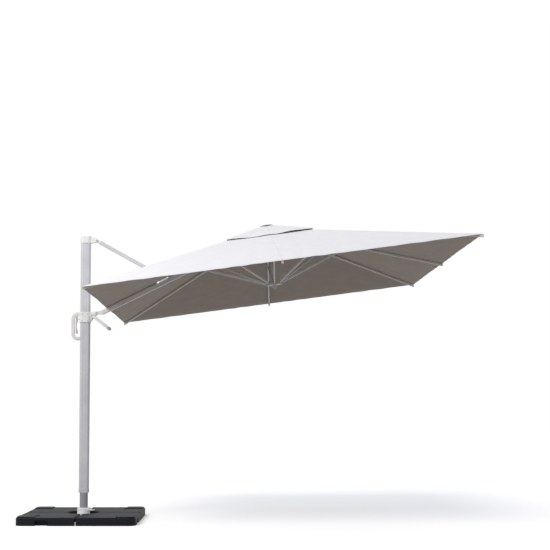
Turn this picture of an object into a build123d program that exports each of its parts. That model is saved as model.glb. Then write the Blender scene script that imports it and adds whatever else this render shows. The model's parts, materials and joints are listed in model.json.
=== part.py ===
"""Cantilever parasol: a ballasted cross base, a turning mast, a sliding carriage with crank, a strut
and a boom that is the eighth rib, and a square canopy that folds on a crown and a runner.

Millimetres, +Z up, origin on the ground under the mast's axis, the canopy on the +X side.
"""
from build123d import *
import os
from math import atan, atan2, cos, degrees, hypot, radians, sin, tan

# fits
RUN = 0.05  # radial clearance of a pin in its bore
SIDE = 0.3  # clearance of a moving flat or curved face beside its neighbour

# base
BASE_SIZE = 1000.0
BALLAST_GAP = 15.0
BALLAST_HEIGHT = 68.0
BALLAST_CORNER = 62.0
BALLAST_EDGE = 9.0
PAD_HEIGHT = 7.0
PAD_BEVEL = 5.0
DISH_RADIUS = 338.0
DISH_INSET = 72.0
DISH_CENTRE_RADIUS = 250.0
BELT_Z = 28.0
BELT_HEIGHT = 4.0
BELT_DEPTH = 2.0
WELL_RADIUS = 138.0
BAR_WIDTH = 44.0
BAR_HEIGHT = 30.0
BAR_WALL = 2.5
CAP_LENGTH = 12.0
BAR_INSET = 14.0
NOTCH_WIDTH = 104.0
NOTCH_HEIGHT = 45.0
NOTCH_DEPTH = 42.0
NOTCH_CENTRE = 282.0
FLANGE_RADIUS = 110.0
FLANGE_THICK = 9.0
BOLT_RADIUS = 5.0
BOLT_CIRCLE = 90.0
BOLT_HEAD_RADIUS = 13.0
BOLT_HEAD_HEIGHT = 14.0
PIVOT_RADIUS = 22.0
PIVOT_WALL = 3.0
PIVOT_TOP = 420.0
WASHER_THICK = 3.0

# mast
MAST_WIDTH = 88.0
MAST_DEPTH = 57.0
MAST_CORNER = 22.0
MAST_WALL = 2.6
GROOVE_WIDTH = 4.0
GROOVE_DEPTH = 1.4
GROOVE_SPREAD = 14.0
TURNTABLE_RADIUS = 56.0
TURNTABLE_TOP = 108.0
NECK_RADIUS = 36.0
MAST_FOOT = 240.0
MAST_TOP = 2450.0
SPIGOT_LENGTH = 150.0
TRIM_LENGTH = 24.0
TRIM_WALL = 2.4
CAP_RISE = 45.0
CAP_WALL = 3.5
CAP_SKIRT = 16.0
BEAK_ROOT = 12.0
EYE_ROOM = 1.5
EAR_THICK = 5.7
EAR_RADIUS = 13.0
PIN_RADIUS = 6.0
PIN_HEAD = 2.6

# lifting linkage: two equal links from the mast's head and from the carriage
PIVOT_LINE_X = 100.0
HEAD_PIVOT_Z = 2455.0
LINK_LENGTH = 660.0
LINK_ANGLE = 29.15
EYE_WIDTH = 29.4
STRUT_HEIGHT = 32.0
STRUT_WIDTH = 25.0
STRUT_WALL = 2.0
EYE_RADIUS = 15.0
EYE_LENGTH = 30.0

# boom
BOOM_HEIGHT = 40.0
BOOM_WIDTH = 30.0
BOOM_WALL = 2.0
BOOM_CORNER = 5.0
BOOM_DROP = 18.0
BOOM_REACH = 1614.4
BOOM_ANGLE = 26.2
CHEEK_THICK = 5.0
CHEEK_LENGTH = 110.0
CORD_RADIUS = 2.0
CORD_RISE = 6.0

# canopy
CANOPY_SIZE = 3000.0
CANOPY_TILT = 7.55
APEX_RISE = 35.0
COVER_THICK = 1.2
VENT_HALF = 370.0
VENT_OPENING_HALF = 300.0
VENT_EDGE_RISE = 17.0
VENT_APEX_RISE = 30.0
VENT_FLAT_SHARE = 0.125
VENT_STEM_RADIUS = 12.0
STRUT_OPENING_LENGTH = 104.0
STRUT_OPENING_WIDTH = 61.8
PIN_CIRCLE = 60.0
TIP_H = -14.0
RIB_SLOPE = 18.93
FOLD_ANGLE = 66.0
CROWN_RADIUS = 72.0
CROWN_HEIGHT = 30.0
RUNNER_HEIGHT = 26.0
HUB_PIN_RADIUS = 2.5
HUB_PIN_LENGTH = 20.0
FINIAL_RADIUS = 60.0
FINIAL_HEIGHT = 9.0
PULLEY_RADIUS = 16.0
PULLEY_WIDTH = 8.0
PULLEY_DROP = 2.0

# ribs and stretchers
RIB_HEIGHT = 20.0
RIB_WIDTH = 14.0
RIB_WALL = 1.6
BLADE_THICK = 8.0
BLADE_LENGTH = 62.0
BLADE_HEIGHT = 16.0
TIP_CAP_LENGTH = 42.0
TIP_CAP_WALL = 1.6
BRACKET_AT = 650.0
BRACKET_DROP = 22.0
BRACKET_THICK = 2.5
BRACKET_LENGTH = 56.0
RIVET_RADIUS = 3.0
RIVET_HEAD = 1.6
STRETCHER_HEIGHT = 16.0
STRETCHER_WIDTH = 12.0
STRETCHER_WALL = 1.5
STRETCHER_EYE = 34.0
TWIN_BAR_THICK = 5.0
TWIN_SPACER_AT = 110.0

# carriage
COLLAR_HEIGHT = 90.0
COLLAR_TOP_OFFSET = 7.0
COLLAR_WALL = 4.2
LINER_THICK = 2.6
LINER_SIDE = 0.4
HANDLE_REACH = 122.0
HANDLE_BOTTOM_OFFSET = -241.0
HANDLE_BAND = 30.0
HANDLE_DEPTH = 30.0
HANDLE_CORNER = 58.0
HANDLE_INNER_CORNER = 22.0
TRIGGER_THICK = 15.0
TRIGGER_DEPTH = 16.0
TRIGGER_GAP = 10.0
TRIGGER_LENGTH = 150.0
LOCK_RADIUS = 5.0
CRANK_X = 70.0
CRANK_Z_OFFSET = -26.0
CRANK_BOSS_RADIUS = 21.0
CRANK_BOSS_END = 70.0
SPINDLE_RADIUS = 8.0
CRANK_ARM_LENGTH = 196.0
CRANK_ARM_ANGLE = 38.0
CRANK_ARM_WIDTH = 28.0
CRANK_ARM_THICK = 9.0
CRANK_GRIP_LENGTH = 78.0
CRANK_GRIP_RADIUS = 13.0
SCREW_RADIUS = 3.2
SCREW_HEAD_RADIUS = 5.6

# foot pedal
PEDAL_WIDTH = 34.0
PEDAL_LENGTH = 58.0
PEDAL_THICK = 6.0
PEDAL_PIVOT_R = 66.0
PEDAL_Z = 94.0
PEDAL_AZIMUTH = -40.0

os.makedirs("parts", exist_ok=True)


# ---- shared geometry -------------------------------------------------------------------------
def move(x=0.0, y=0.0, z=0.0, turn=(0.0, 0.0, 0.0)):
    """A location at x, y, z, turned by angles about X, Y and Z."""
    return Location((x, y, z), turn)


def rounded_prism(width, depth, radius, height):
    """An upright prism with rounded corners, from z = 0."""
    return extrude(RectangleRounded(width, depth, radius), height)


def cross_pin(radius, length, x=0.0, z=0.0, y=0.0):
    """A cylinder along Y centred at x, y, z."""
    return move(x, y, z, (90, 0, 0)) * Cylinder(radius, length)


def box_tube(length, width, height, wall, radius=3.0):
    """A hollow box tube along +X from x = 0, centred on the axis."""
    outer = RectangleRounded(width, height, radius)
    inner = RectangleRounded(width - 2 * wall, height - 2 * wall, max(radius - wall, 0.5))
    section = Plane.YZ * (outer - inner)
    return extrude(section, length)


def plug(length, width, height, wall, radius=3.0):
    """A block that fills a box tube, along +X from x = 0."""
    inner = RectangleRounded(width - 2 * wall, height - 2 * wall, max(radius - wall, 0.5))
    return extrude(Plane.YZ * inner, length)


def headed_pin(radius, grip, x=0.0, z=0.0, head=PIN_HEAD):
    """A cross pin with a flat head beyond each end of its grip."""
    body = cross_pin(radius, grip + 2 * head, x, z)
    for side in (-1, 1):
        body += cross_pin(radius * 1.6, head, x, z, side * (grip + head) / 2)
    return body


def save(name, *solids):
    """Write one node."""
    shape = solids[0] if len(solids) == 1 else Compound(children=list(solids))
    export_step(shape, f"parts/{name}.step")


def quarter_turns(shape):
    """The shape and its three copies turned about Z."""
    return [Rot(0, 0, 90 * turn) * shape for turn in range(4)]


# ---- linkage points --------------------------------------------------------------------------
link_x = LINK_LENGTH * cos(radians(LINK_ANGLE))
link_z = LINK_LENGTH * sin(radians(LINK_ANGLE))
joint_x = PIVOT_LINE_X + link_x
joint_z = HEAD_PIVOT_Z - link_z
carriage_pivot_z = HEAD_PIVOT_Z - 2 * link_z

# the crown hangs on the boom's end, and the canopy's own frame lies below the crown
crown_pin_h = TIP_H + (CANOPY_SIZE / 2 - PIN_CIRCLE) * tan(radians(RIB_SLOPE))
canopy_apex = crown_pin_h + APEX_RISE
vent_apex = canopy_apex + VENT_APEX_RISE
vent_edge_h = canopy_apex * (1 - VENT_HALF / (CANOPY_SIZE / 2)) + VENT_EDGE_RISE
crown_pivot_x = PIVOT_LINE_X + BOOM_REACH * cos(radians(BOOM_ANGLE))
crown_pivot_z = carriage_pivot_z + BOOM_REACH * sin(radians(BOOM_ANGLE))
tilt = radians(CANOPY_TILT)
canopy_x = crown_pivot_x + PIN_CIRCLE * cos(tilt) + crown_pin_h * sin(tilt)
canopy_z = crown_pivot_z + PIN_CIRCLE * sin(tilt) - crown_pin_h * cos(tilt)
canopy = move(canopy_x, 0, canopy_z, (0, -CANOPY_TILT, 0))


def canopy_point(u, v, h):
    """World coordinates of a point in the canopy's own frame."""
    x = canopy_x + u * cos(tilt) - h * sin(tilt)
    z = canopy_z + u * sin(tilt) + h * cos(tilt)
    return (x, v, z)


tip_radius = {"mid": CANOPY_SIZE / 2, "corner": CANOPY_SIZE / 2 * 2**0.5}
rib_slope = {k: degrees(atan2(crown_pin_h - TIP_H, r - PIN_CIRCLE)) for k, r in tip_radius.items()}
rib_length = {k: hypot(crown_pin_h - TIP_H, r - PIN_CIRCLE) for k, r in tip_radius.items()}

# a mid rib and its stretcher are equal links, so the runner moves straight along the crown's axis
mid_link = hypot(BRACKET_AT, BRACKET_DROP)
mid_sag = rib_slope["mid"] + degrees(atan(BRACKET_DROP / BRACKET_AT))
hub_gap = 2 * mid_link * sin(radians(mid_sag))
hub_gap_folded = 2 * mid_link * sin(radians(mid_sag + FOLD_ANGLE))
runner_pin_h = crown_pin_h - hub_gap


def corner_bracket():
    """Where a corner rib's bracket sits so that its stretcher meets the runner open and folded."""
    slope = radians(rib_slope["corner"])
    folded = slope + radians(FOLD_ANGLE)
    rise = hub_gap_folded**2 - hub_gap**2
    drop = 2 * BRACKET_DROP * (hub_gap * cos(slope) - hub_gap_folded * cos(folded))
    return (rise + drop) / (2 * (hub_gap_folded * sin(folded) - hub_gap * sin(slope)))


bracket_at = {"mid": BRACKET_AT, "corner": corner_bracket()}


def bracket_in_crown(kind, fold=0.0):
    """Radial and axial place of the stretcher's upper pin from the crown pin."""
    slope = radians(rib_slope[kind] + fold)
    s = bracket_at[kind]
    return (s * cos(slope) - BRACKET_DROP * sin(slope), -s * sin(slope) - BRACKET_DROP * cos(slope))


def stretcher_slope(kind, fold=0.0):
    """Angle below the crown's plane of the line from a bracket pin to the runner pin."""
    radial, axial = bracket_in_crown(kind, fold)
    gap = hub_gap_folded if fold else hub_gap
    return degrees(atan2(gap + axial, radial))


stretcher_length = {}
for kind in ("mid", "corner"):
    radial, axial = bracket_in_crown(kind)
    stretcher_length[kind] = hypot(radial, axial + hub_gap)

corner_turn = stretcher_slope("corner") - stretcher_slope("corner", FOLD_ANGLE)
corner_ratio = corner_turn / FOLD_ANGLE - 1

RIBS = {
    "rib_right": (0, "mid"),
    "rib_back_right": (45, "corner"),
    "rib_back": (90, "mid"),
    "rib_back_left": (135, "corner"),
    "rib_front_left": (-135, "corner"),
    "rib_front": (-90, "mid"),
    "rib_front_right": (-45, "corner"),
}


def rib_frame(azimuth, kind):
    """X along the rib from its crown pin, Z up across it."""
    place = canopy * move(0, 0, 0, (0, 0, azimuth))
    return place * move(PIN_CIRCLE, 0, crown_pin_h, (0, rib_slope[kind], 0))


def stretcher_frame(azimuth, kind):
    """X from the runner pin towards the bracket pin, Z up across it."""
    radial, axial = bracket_in_crown(kind)
    slope = degrees(atan2(hub_gap + axial, radial))
    place = canopy * move(0, 0, 0, (0, 0, azimuth))
    return place * move(PIN_CIRCLE, 0, runner_pin_h, (0, -slope, 0))


# ---- base ------------------------------------------------------------------------------------
def build_base():
    """Cross bars, caps, four ballast plates, flange, bolts, pivot tube and washer."""
    half = BASE_SIZE / 2
    bar_length = BASE_SIZE - 2 * (BAR_INSET + CAP_LENGTH)
    long_bar = move(0, -bar_length / 2, BAR_HEIGHT / 2, (0, 0, 90)) * box_tube(
        bar_length, BAR_WIDTH, BAR_HEIGHT, BAR_WALL
    )
    save("cross_bar_long", long_bar)
    stub_length = (bar_length - BAR_WIDTH) / 2
    stub = move(BAR_WIDTH / 2, 0, BAR_HEIGHT / 2) * box_tube(stub_length, BAR_WIDTH, BAR_HEIGHT, BAR_WALL)
    save("cross_bar_short", stub, Rot(0, 0, 180) * stub)

    cap = move(bar_length / 2, 0, BAR_HEIGHT / 2) * extrude(
        Plane.YZ * RectangleRounded(BAR_WIDTH, BAR_HEIGHT, 3), CAP_LENGTH
    )
    cap = fillet(cap.faces().sort_by(Axis.X)[-1].edges(), 3)
    cap += move(bar_length / 2 - 20, 0, BAR_HEIGHT / 2) * plug(20, BAR_WIDTH, BAR_HEIGHT, BAR_WALL)
    save("leg_end_caps", *quarter_turns(cap))

    side = half - BALLAST_GAP / 2
    middle = BALLAST_GAP / 2 + side / 2
    plate = move(middle, middle) * extrude(Rectangle(side, side), BALLAST_HEIGHT)
    outer_edge = plate.edges().filter_by(Axis.Z).sort_by(lambda e: e.center().X + e.center().Y)[-1]
    plate = fillet(outer_edge, BALLAST_CORNER)
    plate -= Cylinder(WELL_RADIUS, 4 * BALLAST_HEIGHT)
    top = plate.faces().sort_by(Axis.Z)[-1]
    plate = chamfer(top.edges(), BALLAST_EDGE)
    rebate = BAR_WIDTH + 2 * SIDE
    clear = BAR_HEIGHT + SIDE
    channel = half - BAR_INSET + SIDE
    plate -= move(channel / 2, 0, clear / 2) * Box(channel, rebate, clear)
    plate -= move(0, channel / 2, clear / 2) * Box(rebate, channel, clear)
    belt = extrude(
        Rectangle(2 * BASE_SIZE, 2 * BASE_SIZE)
        - RectangleRounded(BASE_SIZE - 2 * BELT_DEPTH, BASE_SIZE - 2 * BELT_DEPTH, BALLAST_CORNER - BELT_DEPTH),
        BELT_HEIGHT,
    )
    plate -= move(0, 0, BELT_Z) * belt
    pad_size = BASE_SIZE - 2 * BALLAST_EDGE
    quarter = move(half / 2 + BALLAST_GAP / 2 + BALLAST_EDGE, half / 2 + BALLAST_GAP / 2 + BALLAST_EDGE)
    pad = RectangleRounded(pad_size, pad_size, BALLAST_CORNER - BALLAST_EDGE) & quarter * Rectangle(half, half)
    pad -= move(half - DISH_INSET, 0) * Circle(DISH_RADIUS)
    pad -= move(0, half - DISH_INSET) * Circle(DISH_RADIUS)
    pad -= Circle(DISH_CENTRE_RADIUS)
    pad = extrude(pad, PAD_HEIGHT + 1)
    pad = chamfer(pad.faces().sort_by(Axis.Z)[-1].edges(), PAD_BEVEL)
    plate += move(0, 0, BALLAST_HEIGHT - 1) * pad
    notch_x = NOTCH_CENTRE
    notch = move(notch_x, half - NOTCH_DEPTH / 2, NOTCH_HEIGHT / 2 - 5) * Box(
        NOTCH_WIDTH, NOTCH_DEPTH + 1, NOTCH_HEIGHT + 10
    )
    notch = fillet(notch.edges().filter_by(Axis.Y).sort_by(Axis.Z)[-2:], 12)
    plate -= notch
    names = ("ballast_back_right", "ballast_back_left", "ballast_front_left", "ballast_front_right")
    for name, copy in zip(names, quarter_turns(plate)):
        save(name, copy)

    flange = move(0, 0, BAR_HEIGHT + FLANGE_THICK / 2) * Cylinder(FLANGE_RADIUS, FLANGE_THICK)
    flange_top = BAR_HEIGHT + FLANGE_THICK
    boss_top = flange_top + 14
    flange += move(0, 0, (flange_top + boss_top) / 2) * Cone(TURNTABLE_RADIUS + 8, TURNTABLE_RADIUS, 14)
    flange -= move(0, 0, boss_top / 2 + BAR_HEIGHT / 2) * Cylinder(PIVOT_RADIUS, boss_top - BAR_HEIGHT)
    bolts = []
    for bolt in range(4):
        angle = radians(90 * bolt)
        x = BOLT_CIRCLE * cos(angle)
        y = BOLT_CIRCLE * sin(angle)
        shank_length = FLANGE_THICK + BAR_WALL
        flange -= move(x, y, flange_top - FLANGE_THICK / 2) * Cylinder(BOLT_RADIUS, FLANGE_THICK)
        shank = move(x, y, BAR_HEIGHT + FLANGE_THICK / 2) * Cylinder(BOLT_RADIUS, FLANGE_THICK)
        head = move(x, y, flange_top + BOLT_HEAD_HEIGHT / 2) * Cylinder(
            BOLT_HEAD_RADIUS, BOLT_HEAD_HEIGHT
        )
        head = fillet(head.edges().sort_by(Axis.Z)[-1], 4)
        bolts.append(shank + head)
    save("base_flange", flange)
    save("flange_bolts", *bolts)

    tube_height = PIVOT_TOP - BAR_HEIGHT
    pivot = move(0, 0, BAR_HEIGHT + tube_height / 2) * (
        Cylinder(PIVOT_RADIUS, tube_height) - Cylinder(PIVOT_RADIUS - PIVOT_WALL, tube_height)
    )
    save("pivot_tube", pivot)
    washer = move(0, 0, boss_top + WASHER_THICK / 2) * (
        Cylinder(TURNTABLE_RADIUS - 4, WASHER_THICK) - Cylinder(PIVOT_RADIUS + SIDE, WASHER_THICK)
    )
    save("bearing_washer", washer)
    return boss_top + WASHER_THICK


# ---- mast ------------------------------------------------------------------------------------
def mast_section(grow=0.0):
    """The mast's rounded section, grown all round."""
    return RectangleRounded(MAST_WIDTH + 2 * grow, MAST_DEPTH + 2 * grow, MAST_CORNER + grow)


def build_mast(seat):
    """Turntable, grooved tube, trim ring, head cap with ears, pins and foot pedal."""
    disc = move(0, 0, seat + SIDE)
    disc_height = TURNTABLE_TOP - seat - SIDE
    turntable = disc * extrude(Circle(TURNTABLE_RADIUS), disc_height)
    turntable = fillet(turntable.edges().sort_by(Axis.Z)[-1], 6)
    turntable += move(0, 0, TURNTABLE_TOP - 1) * extrude(
        Circle(NECK_RADIUS), MAST_FOOT - TURNTABLE_TOP + 1
    )
    turntable += move(0, 0, MAST_FOOT) * extrude(mast_section(-MAST_WALL), SPIGOT_LENGTH)
    turntable -= extrude(Circle(PIVOT_RADIUS + RUN), MAST_FOOT + SPIGOT_LENGTH)
    azimuth = move(0, 0, 0, (0, 0, PEDAL_AZIMUTH))
    for side in (-1, 1):
        lug_y = side * (PEDAL_WIDTH / 4 + SIDE + 2.5)
        lug = move(PEDAL_PIVOT_R - 9, lug_y, PEDAL_Z) * Box(26, 5, 14)
        turntable += azimuth * lug
    turntable -= azimuth * cross_pin(3, PEDAL_WIDTH, PEDAL_PIVOT_R, PEDAL_Z)
    pedal_pin = azimuth * cross_pin(3, PEDAL_WIDTH / 2 + 2 * SIDE + 10, PEDAL_PIVOT_R, PEDAL_Z)
    pedal_hub = cross_pin(6.5, PEDAL_WIDTH / 2, PEDAL_PIVOT_R, PEDAL_Z)
    plate_x = PEDAL_PIVOT_R + 6 + PEDAL_LENGTH / 2
    pedal_plate = move(plate_x, 0, PEDAL_Z) * Box(PEDAL_LENGTH, PEDAL_WIDTH, PEDAL_THICK)
    pedal_plate = fillet(pedal_plate.edges().filter_by(Axis.Z).sort_by(Axis.X)[-2:], 10)
    neck = move(PEDAL_PIVOT_R + 6, 0, PEDAL_Z) * Box(14, PEDAL_WIDTH / 2, PEDAL_THICK)
    clear_lugs = move(PEDAL_PIVOT_R + 4.5, 0, PEDAL_Z) * Box(12, PEDAL_WIDTH + 1, 16)
    pedal = (pedal_plate - clear_lugs) + neck + pedal_hub
    pedal -= cross_pin(3 + RUN, PEDAL_WIDTH, PEDAL_PIVOT_R, PEDAL_Z)
    save("lock_pedal", azimuth * pedal)
    save("turntable", turntable)

    section = mast_section() - mast_section(-MAST_WALL)
    tube = move(0, 0, MAST_FOOT) * extrude(section, MAST_TOP - MAST_FOOT)
    groove_height = MAST_TOP - MAST_FOOT
    for side in (-1, 1):
        for offset in (-GROOVE_SPREAD, GROOVE_SPREAD):
            y = side * (MAST_DEPTH - GROOVE_DEPTH) / 2
            z = MAST_FOOT + groove_height / 2
            tube -= move(offset, y, z) * Box(GROOVE_WIDTH, GROOVE_DEPTH, groove_height)
    save("mast_tube", tube)
    ring = mast_section(TRIM_WALL) - mast_section()
    save("mast_collar", move(0, 0, MAST_FOOT) * extrude(ring, TRIM_LENGTH))

    skirt = move(0, 0, MAST_TOP - CAP_SKIRT) * extrude(
        mast_section(CAP_WALL) - mast_section(), CAP_SKIRT
    )
    lid = move(0, 0, MAST_TOP) * extrude(mast_section(CAP_WALL), CAP_RISE)
    lid = fillet(lid.edges().filter_by(GeomType.LINE, reverse=True).sort_by(Axis.Z)[-4:], 5)
    ear_y = (EYE_WIDTH + EAR_THICK) / 2 + SIDE
    face_x = MAST_WIDTH / 2
    root_x = face_x - BEAK_ROOT
    outline = Polyline(
        (root_x, MAST_TOP), (root_x, MAST_TOP + CAP_RISE - 2),
        (PIVOT_LINE_X + EAR_RADIUS / 2, HEAD_PIVOT_Z + EAR_RADIUS - 1.5),
        (PIVOT_LINE_X, HEAD_PIVOT_Z - EAR_RADIUS), (face_x, MAST_TOP - CAP_SKIRT), (face_x, MAST_TOP),
        close=True,
    )
    beak = extrude(Plane.XZ * make_face(outline), ear_y + EAR_THICK / 2, both=True)
    beak += cross_pin(EAR_RADIUS, 2 * ear_y + EAR_THICK, PIVOT_LINE_X, HEAD_PIVOT_Z)
    room_x = PIVOT_LINE_X - EYE_RADIUS - EYE_ROOM
    beak -= move(room_x + 50, 0, HEAD_PIVOT_Z) * Box(100, EYE_WIDTH + 2 * SIDE, 200)
    head = skirt + lid + beak
    head -= cross_pin(PIN_RADIUS, 80, PIVOT_LINE_X, HEAD_PIVOT_Z)
    save("head_cap", head)
    grip = EYE_WIDTH + 2 * (SIDE + EAR_THICK)
    save("mast_pins", headed_pin(PIN_RADIUS, grip, PIVOT_LINE_X, HEAD_PIVOT_Z), pedal_pin)


# ---- strut -----------------------------------------------------------------------------------
def eye_end(height, width):
    """An eye about the origin with a shoulder and a spigot along +X, for a tube's end."""
    eye = cross_pin(EYE_RADIUS, EYE_WIDTH)
    eye += move(EYE_LENGTH / 2) * Box(EYE_LENGTH, EYE_WIDTH, 2 * EYE_RADIUS - 4)
    return eye - cross_pin(PIN_RADIUS + RUN, 2 * EYE_WIDTH)


def build_strut():
    """The straight strut with an eye at the mast's head and one at the boom."""
    place = move(PIVOT_LINE_X, 0, HEAD_PIVOT_Z, (0, LINK_ANGLE, 0))
    spigot = plug(24, STRUT_WIDTH, STRUT_HEIGHT, STRUT_WALL)
    top = eye_end(STRUT_HEIGHT, STRUT_WIDTH) + move(EYE_LENGTH) * spigot
    foot = Rot(0, 0, 180) * (eye_end(STRUT_HEIGHT, STRUT_WIDTH) + move(EYE_LENGTH) * spigot)
    tube = box_tube(LINK_LENGTH - 2 * EYE_LENGTH, STRUT_WIDTH, STRUT_HEIGHT, STRUT_WALL)
    save("strut_eyes", place * top, place * move(LINK_LENGTH) * foot)
    save("strut_tube", place * move(EYE_LENGTH) * tube)


# ---- boom ------------------------------------------------------------------------------------
def build_boom():
    """Boom tube, root eye, cheek plates, crown end, pins and the hoist cord inside."""
    place = move(PIVOT_LINE_X, 0, carriage_pivot_z, (0, -BOOM_ANGLE, 0))
    root = 46.0
    tip = BOOM_REACH - BLADE_LENGTH
    spigot = plug(30, BOOM_WIDTH, BOOM_HEIGHT, BOOM_WALL, BOOM_CORNER)
    tube = move(root, 0, -BOOM_DROP) * box_tube(
        tip - root, BOOM_WIDTH, BOOM_HEIGHT, BOOM_WALL, BOOM_CORNER
    )

    dx = joint_x - PIVOT_LINE_X
    dz = joint_z - carriage_pivot_z
    turn = radians(BOOM_ANGLE)
    strut_s = dx * cos(turn) + dz * sin(turn)
    strut_h = -dx * sin(turn) + dz * cos(turn)
    boom_slope = BOOM_ANGLE - CANOPY_TILT
    below = radians(mid_sag - boom_slope)
    arm_s = BOOM_REACH - mid_link * cos(below)
    arm_h = -mid_link * sin(below)

    tube -= cross_pin(PIN_RADIUS, 2 * BOOM_WIDTH, arm_s, arm_h)
    save("boom_tube", place * tube)

    eye = cross_pin(EYE_RADIUS, EYE_WIDTH)
    block = Polyline(
        (0, EYE_RADIUS - 2), (root, -BOOM_DROP + BOOM_HEIGHT / 2), (root, -BOOM_DROP - BOOM_HEIGHT / 2),
        (14, -EYE_RADIUS - 3), (0, -EYE_RADIUS + 1), close=True,
    )
    block = extrude(Plane.XZ * make_face(block), EYE_WIDTH / 2, both=True)
    eye = eye + block + move(root, 0, -BOOM_DROP) * spigot
    eye -= cross_pin(PIN_RADIUS + RUN, 2 * EYE_WIDTH)
    save("boom_root_eye", place * eye)

    cheeks = []
    cheek_y = BOOM_WIDTH / 2 + CHEEK_THICK / 2
    for side in (-1, 1):
        top = cross_pin(EYE_RADIUS - 1, CHEEK_THICK, strut_s, strut_h)
        base_h = -BOOM_DROP
        outline = Polyline(
            (strut_s - EYE_RADIUS + 1, strut_h), (strut_s - CHEEK_LENGTH / 2, base_h + 8),
            (strut_s - CHEEK_LENGTH / 2, base_h - 12), (strut_s + CHEEK_LENGTH / 2, base_h - 12),
            (strut_s + CHEEK_LENGTH / 2, base_h + 8), (strut_s + EYE_RADIUS - 1, strut_h), close=True,
        )
        web = extrude(Plane.XZ * make_face(outline), CHEEK_THICK / 2, both=True)
        cheek = (web + top) - cross_pin(PIN_RADIUS, 4 * CHEEK_THICK, strut_s, strut_h)
        cheeks.append(place * move(0, side * cheek_y) * cheek)
    save("boom_bracket", *cheeks)
    strut_pin = headed_pin(PIN_RADIUS, BOOM_WIDTH + 2 * CHEEK_THICK, strut_s, strut_h)
    arm_pin = headed_pin(PIN_RADIUS, BOOM_WIDTH + 2 * (TWIN_BAR_THICK + 2 * SIDE), arm_s, arm_h)
    save("bracket_pins", place * strut_pin, place * arm_pin)

    blade = cross_pin(BLADE_HEIGHT / 2, BLADE_THICK, BOOM_REACH)
    neck = Polyline(
        (BOOM_REACH, BLADE_HEIGHT / 2), (tip, -BOOM_DROP + BOOM_HEIGHT / 2 - BOOM_WALL),
        (tip, -BOOM_DROP - BOOM_HEIGHT / 2 + BOOM_WALL), (BOOM_REACH - 26, -BLADE_HEIGHT / 2 - 6),
        (BOOM_REACH, -BLADE_HEIGHT / 2), close=True,
    )
    blade += extrude(Plane.XZ * make_face(neck), BLADE_THICK / 2, both=True)
    blade += move(tip - 30, 0, -BOOM_DROP) * spigot
    blade -= cross_pin(HUB_PIN_RADIUS + RUN, 4 * BLADE_THICK, BOOM_REACH)
    save("boom_crown_end", place * blade)
    end_plate = move(tip, 0, -BOOM_DROP) * extrude(
        Plane.YZ * (RectangleRounded(BOOM_WIDTH + 3, BOOM_HEIGHT + 3, 6)
                    - Rectangle(BLADE_THICK, BOOM_HEIGHT)), 5
    )
    save("boom_end_trim", place * end_plate)
    cord_start = root + 30
    cord_end = tip - 30
    cord = move((cord_start + cord_end) / 2, 0, CORD_RISE - BOOM_DROP, (0, 90, 0)) * Cylinder(
        CORD_RADIUS, cord_end - cord_start
    )
    save("hoist_cord_boom", place * cord)
    return {"strut": (strut_s, strut_h), "arm": (arm_s, arm_h)}


# ---- crown, runner and covers ----------------------------------------------------------------
def hub(height, pin_h, slot_azimuths):
    """A slotted hub about the canopy's axis, its slots open outwards, up and down."""
    body = move(0, 0, pin_h) * Cylinder(CROWN_RADIUS, height)
    body = chamfer(body.edges().filter_by(GeomType.CIRCLE), 2.5)
    slot_width = BLADE_THICK + 2 * SIDE
    slot_from = PIN_CIRCLE - BLADE_HEIGHT / 2 - 2
    for azimuth in slot_azimuths:
        slot = move((slot_from + CROWN_RADIUS + 10) / 2, 0, pin_h) * Box(
            CROWN_RADIUS + 10 - slot_from, slot_width, height + 2
        )
        body -= Rot(0, 0, azimuth) * slot
    return body


def hub_pin(azimuth, pin_h, length=HUB_PIN_LENGTH):
    """A pin across one slot of a hub."""
    return Rot(0, 0, azimuth) * cross_pin(HUB_PIN_RADIUS, length, PIN_CIRCLE, pin_h)


def pyramid(half, edge_h, apex_h, top_half):
    """A square frustum from its edge up to a flat of half size top_half."""
    top_h = apex_h - (apex_h - edge_h) * top_half / half
    low = Plane.XY.offset(edge_h) * Rectangle(2 * half, 2 * half)
    high = Plane.XY.offset(top_h) * Rectangle(2 * top_half, 2 * top_half)
    return loft([low, high], ruled=True)


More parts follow.
